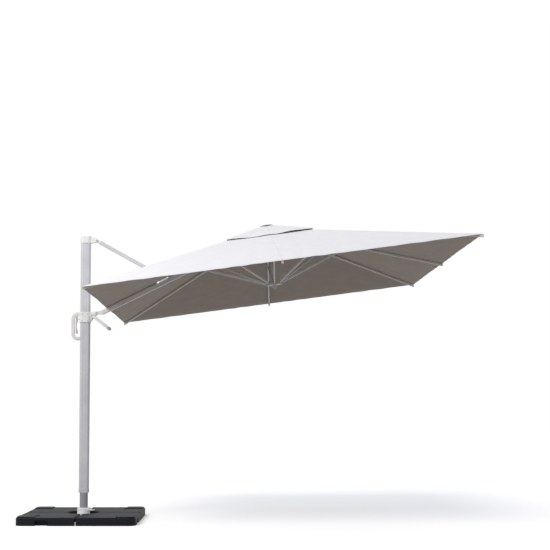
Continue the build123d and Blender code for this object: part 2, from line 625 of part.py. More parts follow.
def build_crown():
    """Crown hub with its pins, pulley and finial, and both fabric covers."""
    azimuths = [azimuth for azimuth, _ in RIBS.values()]
    body = hub(CROWN_HEIGHT, crown_pin_h, azimuths + [180])
    low = crown_pin_h - CROWN_HEIGHT / 2
    boss_height = 24.0
    body += move(0, 0, low - boss_height / 2) * Cylinder(36, boss_height)
    pulley_x = -(PULLEY_RADIUS + CORD_RADIUS)
    pulley_h = low - PULLEY_DROP
    pocket_low = low - boss_height - 1
    pocket_high = crown_pin_h + CROWN_HEIGHT / 2 - 4
    body -= move(pulley_x, 0, (pocket_low + pocket_high) / 2) * Box(
        2 * PULLEY_RADIUS + 14, PULLEY_WIDTH + 2 * SIDE, pocket_high - pocket_low
    )
    for azimuth in azimuths + [180]:
        body -= hub_pin(azimuth, crown_pin_h)
    body -= cross_pin(3, 60, pulley_x, pulley_h)
    save("crown", canopy * body)
    pins = [canopy * hub_pin(azimuth, crown_pin_h) for azimuth in azimuths + [180]]
    pins.append(canopy * cross_pin(3, 50, pulley_x, pulley_h))
    save("crown_pins", *pins)
    sheave = cross_pin(PULLEY_RADIUS, PULLEY_WIDTH, pulley_x, pulley_h)
    groove = move(pulley_x, 0, pulley_h, (90, 0, 0)) * Torus(PULLEY_RADIUS + 0.6, CORD_RADIUS)
    save("pulley", canopy * (sheave - groove - cross_pin(3 + RUN, 40, pulley_x, pulley_h)))

    finial_low = vent_apex - (vent_apex - vent_edge_h) * VENT_FLAT_SHARE + SIDE
    stem_low = crown_pin_h + CROWN_HEIGHT / 2
    finial = move(0, 0, finial_low + FINIAL_HEIGHT / 2) * Cylinder(FINIAL_RADIUS, FINIAL_HEIGHT)
    finial = fillet(finial.edges().sort_by(Axis.Z)[-1], 6)
    finial += move(0, 0, (stem_low + finial_low) / 2) * Cylinder(VENT_STEM_RADIUS, finial_low - stem_low)
    save("finial", canopy * finial)

    half = CANOPY_SIZE / 2
    cover = pyramid(half, 0, canopy_apex, VENT_OPENING_HALF / 2)
    cover -= move(0, 0, -COVER_THICK) * pyramid(half, 0, canopy_apex, VENT_OPENING_HALF / 2)
    cover -= move(0, 0, canopy_apex / 2) * Box(
        2 * VENT_OPENING_HALF, 2 * VENT_OPENING_HALF, 2 * canopy_apex
    )
    strut_u = (joint_x - canopy_x) * cos(tilt) + (joint_z - canopy_z) * sin(tilt)
    cover -= move(strut_u, 0, canopy_apex / 2) * Box(
        STRUT_OPENING_LENGTH, STRUT_OPENING_WIDTH, 2 * canopy_apex
    )
    save("canopy_cover", canopy * cover)
    vent_flat = VENT_HALF * VENT_FLAT_SHARE
    vent = pyramid(VENT_HALF, vent_edge_h, vent_apex, vent_flat)
    vent -= move(0, 0, -COVER_THICK) * pyramid(VENT_HALF, vent_edge_h, vent_apex, vent_flat)
    vent -= move(0, 0, vent_apex) * Cylinder(VENT_STEM_RADIUS + SIDE, vent_apex)
    save("vent_cover", canopy * vent)

    drop_top = low - boss_height - 1
    drop_low = runner_pin_h + RUNNER_HEIGHT / 2
    drop = move(0, 0, (drop_top + drop_low) / 2) * Cylinder(CORD_RADIUS, drop_top - drop_low - 1)
    save("hoist_cord_drop", canopy * drop)


def build_runner():
    """Runner hub, its tip and its pins."""
    azimuths = [azimuth for azimuth, _ in RIBS.values()]
    body = hub(RUNNER_HEIGHT, runner_pin_h, azimuths)
    twin_y = BOOM_WIDTH / 2 + SIDE + TWIN_BAR_THICK / 2
    slot_from = PIN_CIRCLE - BLADE_HEIGHT / 2 - 2
    for side in (-1, 1):
        body -= move(-(slot_from + CROWN_RADIUS + 10) / 2, side * twin_y, runner_pin_h) * Box(
            CROWN_RADIUS + 10 - slot_from, TWIN_BAR_THICK + 2 * SIDE, RUNNER_HEIGHT + 2
        )
    low = runner_pin_h - RUNNER_HEIGHT / 2
    body += move(0, 0, low - 14) * Cone(13, 26, 28)
    pins = []
    for azimuth, kind in RIBS.values():
        if kind == "mid":
            body -= hub_pin(azimuth, runner_pin_h)
            pins.append(canopy * hub_pin(azimuth, runner_pin_h))
    body -= hub_pin(180, runner_pin_h, 46)
    pins.append(canopy * hub_pin(180, runner_pin_h, 46))
    save("runner", canopy * body)
    save("runner_pins", *pins)


def build_ribs():
    """Seven ribs, each with its tube, crown blade, tip cap, bracket cheeks and rivet."""
    for name, (azimuth, kind) in RIBS.items():
        length = rib_length[kind]
        tube = move(BLADE_LENGTH) * box_tube(length - BLADE_LENGTH - 4, RIB_WIDTH, RIB_HEIGHT, RIB_WALL, 4)
        blade = cross_pin(BLADE_HEIGHT / 2, BLADE_THICK)
        blade += move(BLADE_LENGTH / 2) * Box(BLADE_LENGTH, BLADE_THICK, BLADE_HEIGHT)
        blade += move(BLADE_LENGTH) * plug(30, RIB_WIDTH, RIB_HEIGHT, RIB_WALL, 4)
        blade -= cross_pin(HUB_PIN_RADIUS + RUN, 4 * BLADE_THICK)
        cap_section = RectangleRounded(RIB_WIDTH + 2 * TIP_CAP_WALL, RIB_HEIGHT + 2 * TIP_CAP_WALL, 5)
        cap = extrude(Plane.YZ * cap_section, TIP_CAP_LENGTH)
        cap -= move(-1) * extrude(Plane.YZ * RectangleRounded(RIB_WIDTH, RIB_HEIGHT, 4), TIP_CAP_LENGTH - 3)
        cap = move(length - TIP_CAP_LENGTH) * cap
        at = bracket_at[kind]
        cheeks = []
        for side in (-1, 1):
            y = side * (RIB_WIDTH + BRACKET_THICK) / 2
            outline = Polyline(
                (at - BRACKET_LENGTH / 2, 7), (at - BRACKET_LENGTH / 2, -9), (at - 8, -BRACKET_DROP - 7),
                (at + 8, -BRACKET_DROP - 7), (at + BRACKET_LENGTH / 2, -9), (at + BRACKET_LENGTH / 2, 7),
                close=True,
            )
            cheek = extrude(Plane.XZ * make_face(outline), BRACKET_THICK / 2, both=True)
            cheek -= cross_pin(RIVET_RADIUS, 20, at, -BRACKET_DROP)
            cheeks.append(move(0, y) * cheek)
        rivet = headed_pin(RIVET_RADIUS, RIB_WIDTH + 2 * BRACKET_THICK, at, -BRACKET_DROP, RIVET_HEAD)
        place = rib_frame(azimuth, kind)
        save(name, *[place * piece for piece in (tube, blade, cap, cheeks[0], cheeks[1], rivet)])


def build_stretchers():
    """Seven single stretchers, and the boom's twin bars with their spacer."""
    eye_width = RIB_WIDTH - 2 * SIDE
    for name, (azimuth, kind) in RIBS.items():
        length = stretcher_length[kind]
        body = move(STRETCHER_EYE) * box_tube(
            length - 2 * STRETCHER_EYE, STRETCHER_WIDTH, STRETCHER_HEIGHT, STRETCHER_WALL
        )
        filling = plug(20, STRETCHER_WIDTH, STRETCHER_HEIGHT, STRETCHER_WALL)
        low = cross_pin(STRETCHER_HEIGHT / 2, BLADE_THICK)
        low += move(STRETCHER_EYE / 2) * Box(STRETCHER_EYE, BLADE_THICK, STRETCHER_HEIGHT)
        low += move(STRETCHER_EYE) * filling
        low -= cross_pin(HUB_PIN_RADIUS + RUN, 4 * BLADE_THICK)
        high = cross_pin(7, eye_width, length)
        high += move(length - STRETCHER_EYE / 2) * Box(STRETCHER_EYE, eye_width, 14)
        high += move(length - STRETCHER_EYE - 20) * filling
        high -= cross_pin(RIVET_RADIUS + RUN, 4 * eye_width, length)
        place = stretcher_frame(azimuth, kind)
        save(name.replace("rib", "stretcher"), place * body, place * low, place * high)
    length = stretcher_length["mid"]
    twin_y = BOOM_WIDTH / 2 + SIDE + TWIN_BAR_THICK / 2
    place = stretcher_frame(180, "mid")
    bars = []
    for side in (-1, 1):
        bar = move(length / 2) * Box(length, TWIN_BAR_THICK, STRETCHER_HEIGHT)
        bar += cross_pin(STRETCHER_HEIGHT / 2, TWIN_BAR_THICK)
        bar += cross_pin(STRETCHER_HEIGHT / 2 + 3, TWIN_BAR_THICK, length)
        bar -= cross_pin(HUB_PIN_RADIUS + RUN, 20)
        bar -= cross_pin(PIN_RADIUS + RUN, 20, length)
        bars.append(place * move(0, side * twin_y) * bar)
    bars.append(place * cross_pin(5, 2 * twin_y - TWIN_BAR_THICK, TWIN_SPACER_AT))
    save("stretcher_boom", *bars)


# ---- carriage --------------------------------------------------------------------------------
def build_carriage():
    """Collar, liner, grip loop, boom ears and pin, screws, crank, trigger and lock."""
    collar_top = carriage_pivot_z + COLLAR_TOP_OFFSET
    collar_low = collar_top - COLLAR_HEIGHT
    liner_in = LINER_SIDE
    liner_out = LINER_SIDE + LINER_THICK
    collar_out = liner_out + COLLAR_WALL
    liner = move(0, 0, collar_low) * extrude(mast_section(liner_out) - mast_section(liner_in), COLLAR_HEIGHT)
    collar = move(0, 0, collar_low) * extrude(
        mast_section(collar_out) - mast_section(liner_out), COLLAR_HEIGHT
    )
    face_x = MAST_WIDTH / 2 + collar_out
    ear_y = (EYE_WIDTH + EAR_THICK) / 2 + SIDE
    for side in (-1, 1):
        web = Polyline(
            (face_x - 5, carriage_pivot_z + 7), (PIVOT_LINE_X + 2, carriage_pivot_z + EAR_RADIUS),
            (PIVOT_LINE_X + 2, carriage_pivot_z - EAR_RADIUS), (face_x - 5, collar_low + 8), close=True,
        )
        plate = extrude(Plane.XZ * make_face(web), EAR_THICK / 2, both=True)
        plate += cross_pin(EAR_RADIUS, EAR_THICK, PIVOT_LINE_X, carriage_pivot_z)
        collar += move(0, side * ear_y) * plate
    crank_z = carriage_pivot_z + CRANK_Z_OFFSET
    boss_start = ear_y + EAR_THICK / 2
    boss = cross_pin(
        CRANK_BOSS_RADIUS, CRANK_BOSS_END - boss_start + 1, CRANK_X, crank_z,
        -(CRANK_BOSS_END + boss_start - 1) / 2,
    )
    collar += boss
    collar -= cross_pin(PIN_RADIUS, 80, PIVOT_LINE_X, carriage_pivot_z)
    collar -= cross_pin(SPINDLE_RADIUS + RUN, 200, CRANK_X, crank_z)
    lock_z = carriage_pivot_z - 55
    lock_x = -(MAST_WIDTH / 2 + SIDE)
    lock_length = collar_out + 9
    lock = move(lock_x - lock_length / 2, 0, lock_z, (0, 90, 0)) * Cylinder(LOCK_RADIUS, lock_length)
    hole = move(lock_x - lock_length / 2, 0, lock_z, (0, 90, 0)) * Cylinder(
        LOCK_RADIUS + RUN, 2 * lock_length
    )
    save("lock_pin", lock)
    save("guide_liner", liner - hole)

    low = carriage_pivot_z + HANDLE_BOTTOM_OFFSET
    high = collar_top + 1
    outer_width = HANDLE_REACH
    middle_x = -outer_width / 2
    outer = move(middle_x, 0, (low + high) / 2) * extrude(
        Plane.XZ * RectangleRounded(outer_width, high - low, HANDLE_CORNER), HANDLE_DEPTH / 2, both=True
    )
    outer = fillet(outer.faces().sort_by(Axis.Y)[0].edges() + outer.faces().sort_by(Axis.Y)[-1].edges(), 8)
    inner_width = outer_width - HANDLE_BAND
    inner = move(-inner_width / 2, 0, (low + high) / 2) * extrude(
        Plane.XZ * RectangleRounded(inner_width, high - low - 2 * HANDLE_BAND, HANDLE_INNER_CORNER),
        HANDLE_DEPTH, both=True,
    )
    grip = outer - inner
    keep_clear = move(0, 0, low - 5) * extrude(mast_section(LINER_SIDE + 0.6), high - low + 20)
    collar_zone = move(0, 0, collar_low) * extrude(mast_section(collar_out), COLLAR_HEIGHT + 20)
    half_room = move(100, 0, (low + high) / 2) * Box(200, 100, high - low + 20)
    grip = grip - keep_clear - collar_zone - half_room
    hinge_x = -(HANDLE_REACH - HANDLE_BAND - TRIGGER_GAP - TRIGGER_THICK / 2)
    hinge_z = high - HANDLE_BAND - 9
    trigger_eye = 7.0
    for side in (-1, 1):
        lug_y = side * (TRIGGER_DEPTH / 2 + SIDE + 2)
        lug = move(hinge_x, lug_y, hinge_z + 8) * Box(18, 4, 30)
        grip += lug
    grip -= cross_pin(2.5, 60, hinge_x, hinge_z)
    grip = grip.solids().sort_by(SortBy.VOLUME)[-1]
    save("handle_grip", grip)

    straight = move(hinge_x, 0, hinge_z - TRIGGER_LENGTH / 2) * Box(
        TRIGGER_THICK, TRIGGER_DEPTH, TRIGGER_LENGTH
    )
    belly = move(hinge_x + 98, 0, hinge_z - TRIGGER_LENGTH / 2 - 10, (90, 0, 0)) * Cylinder(100, 60)
    trigger = straight - belly
    trigger += cross_pin(trigger_eye, TRIGGER_DEPTH, hinge_x, hinge_z)
    trigger = trigger.solids().sort_by(SortBy.VOLUME)[-1]
    trigger -= cross_pin(2.5 + RUN, 40, hinge_x, hinge_z)
    save("trigger", trigger)

    grip_pin = cross_pin(2.5, TRIGGER_DEPTH + 2 * SIDE + 8, hinge_x, hinge_z)
    boom_pin = headed_pin(PIN_RADIUS, EYE_WIDTH + 2 * (SIDE + EAR_THICK), PIVOT_LINE_X, carriage_pivot_z)
    save("carriage_pins", boom_pin, grip_pin)

    screws = []
    for z in (carriage_pivot_z - 12, carriage_pivot_z - 70):
        for x in (-24, 24):
            face_y = -(MAST_DEPTH / 2 + collar_out)
            hole = move(x, face_y + COLLAR_WALL / 2, z, (90, 0, 0)) * Cylinder(SCREW_RADIUS, COLLAR_WALL)
            head = move(x, face_y - 1, z, (90, 0, 0)) * Cylinder(SCREW_HEAD_RADIUS, 2)
            head = chamfer(head.edges().sort_by(Axis.Y)[0], 0.8)
            collar -= hole
            screws.append(head + hole)
    collar -= move(lock_x - lock_length / 2, 0, lock_z, (0, 90, 0)) * Cylinder(
        LOCK_RADIUS + RUN, 2 * lock_length
    )
    save("carriage_body", collar.solids().sort_by(SortBy.VOLUME)[-1])
    save("carriage_screws", *screws)

    arm_y = -(CRANK_BOSS_END + 1 + CRANK_ARM_THICK / 2)
    spindle_low = arm_y - CRANK_ARM_THICK / 2
    spindle_high = ear_y + EAR_THICK / 2
    spindle = cross_pin(
        SPINDLE_RADIUS, spindle_high - spindle_low, CRANK_X, crank_z, (spindle_high + spindle_low) / 2
    )
    save("crank_spindle", spindle)
    arm_place = move(CRANK_X, arm_y, crank_z, (0, CRANK_ARM_ANGLE, 0))
    arm = move(CRANK_ARM_LENGTH / 2) * Box(CRANK_ARM_LENGTH, CRANK_ARM_THICK, CRANK_ARM_WIDTH)
    arm += cross_pin(CRANK_ARM_WIDTH / 2, CRANK_ARM_THICK)
    arm += cross_pin(CRANK_ARM_WIDTH / 2, CRANK_ARM_THICK, CRANK_ARM_LENGTH)
    arm -= cross_pin(SPINDLE_RADIUS, 40)
    arm = fillet(arm.faces().sort_by(Axis.Y)[0].edges(), 2)
    arm += cross_pin(5, CRANK_GRIP_LENGTH, CRANK_ARM_LENGTH, 0, -CRANK_GRIP_LENGTH / 2)
    save("crank_arm", arm_place * arm)
    grip_from = CRANK_ARM_THICK / 2 + 1
    sleeve = cross_pin(
        CRANK_GRIP_RADIUS, CRANK_GRIP_LENGTH - grip_from, CRANK_ARM_LENGTH, 0,
        -(CRANK_GRIP_LENGTH + grip_from) / 2 - 2,
    )
    sleeve = fillet(sleeve.edges().filter_by(GeomType.CIRCLE), 4)
    sleeve -= cross_pin(5, 4 * CRANK_GRIP_LENGTH, CRANK_ARM_LENGTH)
    save("crank_grip", arm_place * sleeve)
    return {
        "trigger": (hinge_x, 0, hinge_z), "crank": (CRANK_X, 0, crank_z), "lock": (lock_x, 0, lock_z),
        "handle": (low, high, collar_low),
    }


seat = build_base()
build_mast(seat)
build_strut()
boom_points = build_boom()
build_crown()
build_runner()
build_ribs()
build_stretchers()
points = build_carriage()


def show_joint(name, point, axis):
    """Print a joint's place and axis."""
    print("joint", name, *[round(value, 6) for value in (*point, *axis)])


show_joint("strut_swing", (PIVOT_LINE_X, 0, HEAD_PIVOT_Z), (0, 1, 0))
show_joint("boom_swing", (joint_x, 0, joint_z), (0, 1, 0))
show_joint("carriage_level", (PIVOT_LINE_X, 0, carriage_pivot_z), (0, 1, 0))
show_joint("crown_fold", (crown_pivot_x, 0, crown_pivot_z), (0, 1, 0))
for name, (azimuth, kind) in RIBS.items():
    angle = radians(azimuth)
    radial, axial = bracket_in_crown(kind)
    pin = canopy_point(PIN_CIRCLE * cos(angle), PIN_CIRCLE * sin(angle), crown_pin_h)
    out = PIN_CIRCLE + radial
    bracket = canopy_point(out * cos(angle), out * sin(angle), crown_pin_h + axial)
    across = (-sin(angle) * cos(tilt), cos(angle), -sin(angle) * sin(tilt))
    show_joint(name + "_fold", pin, across)
    show_joint(name.replace("rib", "stretcher") + "_fold", bracket, across)
radial, axial = bracket_in_crown("mid")
show_joint("stretcher_boom_fold", canopy_point(-PIN_CIRCLE - radial, 0, crown_pin_h + axial), (0, 1, 0))
show_joint("runner_level", canopy_point(-PIN_CIRCLE, 0, runner_pin_h), (0, 1, 0))
pulley_h = crown_pin_h - CROWN_HEIGHT / 2 - PULLEY_DROP
show_joint("pulley_spin", canopy_point(-PULLEY_RADIUS - CORD_RADIUS, 0, pulley_h), (0, 1, 0))
show_joint("crank_spin", points["crank"], (0, 1, 0))
show_joint("trigger_pull", points["trigger"], (0, 1, 0))
pedal_turn = radians(PEDAL_AZIMUTH)
pedal_point = (PEDAL_PIVOT_R * cos(pedal_turn), PEDAL_PIVOT_R * sin(pedal_turn), PEDAL_Z)
show_joint("pedal_press", pedal_point, (-sin(pedal_turn), cos(pedal_turn), 0))
print("ratio corner", corner_ratio)
print("travel", (hub_gap_folded - hub_gap), "runner pin h", runner_pin_h)
print("points", boom_points, points)
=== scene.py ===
"""Looks of a cantilever parasol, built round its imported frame: cloth, finishes, floor, light, camera."""
import json
import logging
import math
from dataclasses import dataclass, field
from enum import Enum
from typing import Callable

import bmesh
import bpy
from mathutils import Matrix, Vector


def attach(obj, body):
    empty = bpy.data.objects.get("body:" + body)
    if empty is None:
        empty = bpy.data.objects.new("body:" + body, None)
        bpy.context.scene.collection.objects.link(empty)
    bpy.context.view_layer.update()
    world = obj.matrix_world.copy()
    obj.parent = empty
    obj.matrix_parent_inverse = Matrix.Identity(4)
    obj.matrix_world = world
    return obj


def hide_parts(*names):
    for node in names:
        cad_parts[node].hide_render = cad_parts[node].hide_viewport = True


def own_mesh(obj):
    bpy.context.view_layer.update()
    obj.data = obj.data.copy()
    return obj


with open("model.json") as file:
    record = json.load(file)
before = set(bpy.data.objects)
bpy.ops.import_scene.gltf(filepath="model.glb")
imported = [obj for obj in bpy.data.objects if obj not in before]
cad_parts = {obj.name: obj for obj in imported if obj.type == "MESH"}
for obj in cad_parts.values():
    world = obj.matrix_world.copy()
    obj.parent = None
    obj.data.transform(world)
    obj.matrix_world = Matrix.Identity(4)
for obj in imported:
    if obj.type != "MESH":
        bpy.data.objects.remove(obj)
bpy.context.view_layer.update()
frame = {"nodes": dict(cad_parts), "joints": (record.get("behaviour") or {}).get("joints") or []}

log = logging.getLogger("parasol")
MM = 0.001  # a millimetre in metres


# ---- nodes -----------------------------------------------------------------------------------
def linear(code: str) -> tuple[float, float, float, float]:
    """Turn an sRGB hex colour to linear.

    Args:
        code: Six hex digits, with or without a leading hash.

    Returns:
        Linear red, green, blue and an alpha of 1.
    """
    digits = code.lstrip("#")
    shares = [int(digits[place:place + 2], 16) / 255 for place in (0, 2, 4)]
    parts = [s / 12.92 if s <= 0.04045 else ((s + 0.055) / 1.055) ** 2.4 for s in shares]
    return (*parts, 1.0)


def add_node(
    tree: bpy.types.NodeTree, kind: str, inputs: dict | None = None, **settings: object
) -> bpy.types.Node:
    """Add a shader node.

    Args:
        tree: The material's or world's tree.
        kind: The node's type name, without its ShaderNode prefix.
        inputs: Socket name or number to a value, or to an output socket to link from.
        settings: Properties to set on the node.

    Returns:
        The new node.
    """
    node = tree.nodes.new("ShaderNode" + kind)
    for name, value in settings.items():
        setattr(node, name, value)
    for name, value in (inputs or {}).items():
        if isinstance(value, bpy.types.NodeSocket):
            tree.links.new(value, node.inputs[name])
        else:
            node.inputs[name].default_value = value
    return node


def new_material(name: str) -> tuple[bpy.types.Material, bpy.types.NodeTree]:
    """Make a material with an empty tree.

    Args:
        name: The material's name.

    Returns:
        The material and its tree.
    """
    material = bpy.data.materials.new(name)
    material.use_nodes = True
    material.node_tree.nodes.clear()
    return material, material.node_tree


def two_tone(
    tree: bpy.types.NodeTree, value: bpy.types.NodeSocket, low: str, high: str,
    ends: tuple[float, float] = (0.35, 0.65),
) -> bpy.types.NodeSocket:
    """Blend two close colours by a texture's value.

    Args:
        tree: The material's tree.
        value: The value to read.
        low: Hex colour at the low end.
        high: Hex colour at the high end.
        ends: Where the blend starts and stops.

    Returns:
        The colour socket.
    """
    ramp = add_node(tree, "ValToRGB", {"Fac": value})
    for element, colour, place in zip(ramp.color_ramp.elements, (low, high), ends):
        element.color = linear(colour)
        element.position = place
    return ramp.outputs["Color"]


# ---- finishes --------------------------------------------------------------------------------
@dataclass(frozen=True)
class GrainedCoat:
    """A solid finish with a fine grain: powder coat, moulded plastic or braided cord.

    Powder coat has a soft orange peel and moulded ABS a spark-eroded grain of 0.1 to 0.5 mm. Both
    are drawn 1 to 2 mm coarse, so that they show at arm's length.
    """

    name: str
    colour: str
    shade: str
    roughness: float
    grain_mm: float = 2.0
    grain_depth_mm: float = 0.05
    grain_strength: float = 0.7
    specular: float = 0.5
    cloud_mm: float = 160.0
    wear: float = 0.06

    def build(self) -> bpy.types.Material:
        """Make the material."""
        material, tree = new_material(self.name)
        place = add_node(tree, "TexCoord").outputs["Object"]
        cloud = add_node(
            tree, "TexNoise", {"Vector": place, "Scale": 1 / (self.cloud_mm * MM), "Detail": 4.0}
        ).outputs["Fac"]
        tone = two_tone(tree, cloud, self.shade, self.colour)
        grain = add_node(
            tree, "TexNoise", {"Vector": place, "Scale": 1 / (self.grain_mm * MM), "Detail": 2.0}
        )
        bump = add_node(
            tree, "Bump",
            {"Height": grain.outputs["Fac"], "Distance": self.grain_depth_mm * MM,
             "Strength": self.grain_strength},
        )
        worn = add_node(
            tree, "MapRange",
            {"Value": cloud, "To Min": self.roughness - self.wear, "To Max": self.roughness + self.wear},
        )
        shader = add_node(
            tree, "BsdfPrincipled",
            {"Base Color": tone, "Roughness": worn.outputs["Result"],
             "Specular IOR Level": self.specular, "Normal": bump.outputs["Normal"]},
        )
        add_node(tree, "OutputMaterial", {"Surface": shader.outputs["BSDF"]})
        return material


@dataclass(frozen=True)
class DrawnMetal:
    """Bright zinc-plated steel: fine lengthwise lines and a soft metallic gloss.

    Real drawing lines are under 0.1 mm wide; they are drawn 0.6 mm wide, so that they show.
    """

    name: str
    colour: str
    shade: str
    roughness: float = 0.32
    line_mm: float = 0.6
    line_depth_mm: float = 0.02
    line_stretch: float = 0.03

    def build(self) -> bpy.types.Material:
        """Make the material."""
        material, tree = new_material(self.name)
        place = add_node(tree, "TexCoord").outputs["Object"]
        drawn = add_node(tree, "Mapping", {"Vector": place, "Scale": (1.0, self.line_stretch, 1.0)})
        lines = add_node(
            tree, "TexNoise",
            {"Vector": drawn.outputs["Vector"], "Scale": 1 / (self.line_mm * MM), "Detail": 2.0},
        ).outputs["Fac"]
        tone = two_tone(tree, lines, self.shade, self.colour)
        bump = add_node(
            tree, "Bump", {"Height": lines, "Distance": self.line_depth_mm * MM, "Strength": 0.5}
        )
        shader = add_node(
            tree, "BsdfPrincipled",
            {"Base Color": tone, "Roughness": self.roughness, "Metallic": 1.0,
             "Normal": bump.outputs["Normal"]},
        )
        add_node(tree, "OutputMaterial", {"Surface": shader.outputs["BSDF"]})
        return material


@dataclass(frozen=True)
class FootCoat:
    """A pale moulded foot cover with the neck that stands in it, whose darker grey is painted shade.

    The moulded grain is about 0.3 mm; it is drawn 2 mm coarse, so that it shows.
    """

    name: str
    cover: str
    shaded_neck: str
    split_mm: float = 108.0
    roughness: float = 0.42
    grain_mm: float = 2.0
    grain_depth_mm: float = 0.05

    def build(self) -> bpy.types.Material:
        """Make the material."""
        material, tree = new_material(self.name)
        place = add_node(tree, "TexCoord").outputs["Object"]
        rise = add_node(tree, "SeparateXYZ", {"Vector": place}).outputs["Z"]
        above = add_node(tree, "Math", {0: rise, 1: self.split_mm * MM}, operation="GREATER_THAN")
        # Painted shade: above the split, the neck takes a darker grey than the cover.
        tone = two_tone(tree, above.outputs["Value"], self.cover, self.shaded_neck)
        grain = add_node(
            tree, "TexNoise", {"Vector": place, "Scale": 1 / (self.grain_mm * MM), "Detail": 2.0}
        )
        bump = add_node(
            tree, "Bump",
            {"Height": grain.outputs["Fac"], "Distance": self.grain_depth_mm * MM, "Strength": 0.6},
        )
        shader = add_node(
            tree, "BsdfPrincipled",
            {"Base Color": tone, "Roughness": self.roughness, "Normal": bump.outputs["Normal"]},
        )
        add_node(tree, "OutputMaterial", {"Surface": shader.outputs["BSDF"]})
        return material


@dataclass(frozen=True)
class Canvas:
    """Plain-woven polyester canvas with lock stitching beside its seams and hem.

    The real thread is about 0.4 mm thick; both the weave and the stitches are drawn coarser, so that
    they show at arm's length.
    """

    name: str
    colour: str
    shade: str
    hem_at_mm: float
    thread_mm: float = 1.6
    thread_depth_mm: float = 0.12
    thread_wobble: float = 0.4
    slub_mm: float = 90.0
    sheen: float = 0.15
    roughness: float = 0.85
    seam_offset_mm: float = 4.2
    stitch_mm: float = 5.0
    stitch_half_mm: float = 0.6
    stitch_share: float = 0.65
    stitch_relief: float = 3.0
    stitch_colour: str = "#c4c2c0"

    def stitches(self, tree: bpy.types.NodeTree, place: bpy.types.NodeSocket) -> bpy.types.NodeSocket:
        """Rows of dashes beside the seams and along the hem.

        Args:
            tree: The material's tree.
            place: The cloth's own coordinates, in metres.

        Returns:
            A value of 1 on a stitch and 0 elsewhere.
        """
        flat = add_node(tree, "SeparateXYZ", {"Vector": place})
        across, along = flat.outputs["X"], flat.outputs["Y"]
        width = add_node(tree, "Math", {0: across}, operation="ABSOLUTE").outputs["Value"]
        rows = []
        for value, at, run in ((width, self.seam_offset_mm, along), (along, self.hem_at_mm, across)):
            row = add_node(
                tree, "Math", {0: value, 1: at * MM, 2: self.stitch_half_mm * MM}, operation="COMPARE"
            )
            step = add_node(tree, "Math", {0: run, 1: 1 / (self.stitch_mm * MM)}, operation="MULTIPLY")
            part = add_node(tree, "Math", {0: step.outputs["Value"]}, operation="FRACT")
            dash = add_node(
                tree, "Math", {0: part.outputs["Value"], 1: self.stitch_share}, operation="LESS_THAN"
            )
            rows.append(add_node(
                tree, "Math", {0: row.outputs["Value"], 1: dash.outputs["Value"]}, operation="MULTIPLY"
            ).outputs["Value"])
        return add_node(tree, "Math", {0: rows[0], 1: rows[1]}, operation="MAXIMUM").outputs["Value"]

    def weave(self, tree: bpy.types.NodeTree, place: bpy.types.NodeSocket) -> bpy.types.NodeSocket:
        """Threads over and under each other.

        Args:
            tree: The material's tree.
            place: The cloth's own coordinates, in metres.

        Returns:
            The height of the weave, 0 to 1.
        """
        # A wave texture of scale s repeats every tau / 20 / s.
        scale = math.tau / 20 / (self.thread_mm * MM)
        warp, weft = (
            add_node(
                tree, "TexWave", {"Vector": place, "Scale": scale, "Distortion": self.thread_wobble},
                bands_direction=direction,
            ).outputs["Fac"]
            for direction in ("X", "Y")
        )
        return add_node(tree, "Math", {0: warp, 1: weft}, operation="MULTIPLY").outputs["Value"]

    def build(self) -> bpy.types.Material:
        """Make the material."""
        material, tree = new_material(self.name)
        place = add_node(tree, "UVMap", uv_map="cloth").outputs["UV"]
        slub = add_node(
            tree, "TexNoise",
            {"Vector": place, "Scale": 1 / (self.slub_mm * MM), "Detail": 5.0, "Roughness": 0.6},
        )
        tone = two_tone(tree, slub.outputs["Fac"], self.shade, self.colour, (0.3, 0.7))
        stitch = self.stitches(tree, place)
        raised = add_node(
            tree, "Math", {0: stitch, 1: self.stitch_relief, 2: self.weave(tree, place)},
            operation="MULTIPLY_ADD",
        )
        bump = add_node(
            tree, "Bump",
            {"Height": raised.outputs["Value"], "Distance": self.thread_depth_mm * MM, "Strength": 0.5},
        )
        sewn = add_node(
            tree, "MixRGB", {"Fac": stitch, "Color1": tone, "Color2": linear(self.stitch_colour)}
        )
        shader = add_node(
            tree, "BsdfPrincipled",
            {"Base Color": sewn.outputs["Color"], "Roughness": self.roughness,
             "Sheen Weight": self.sheen, "Normal": bump.outputs["Normal"]},
        )
        add_node(tree, "OutputMaterial", {"Surface": shader.outputs["BSDF"]})
        return material


COVER_HEM_MM = 1478.0  # how far from the crown the hem's stitching runs
VENT_HEM_MM = 358.0

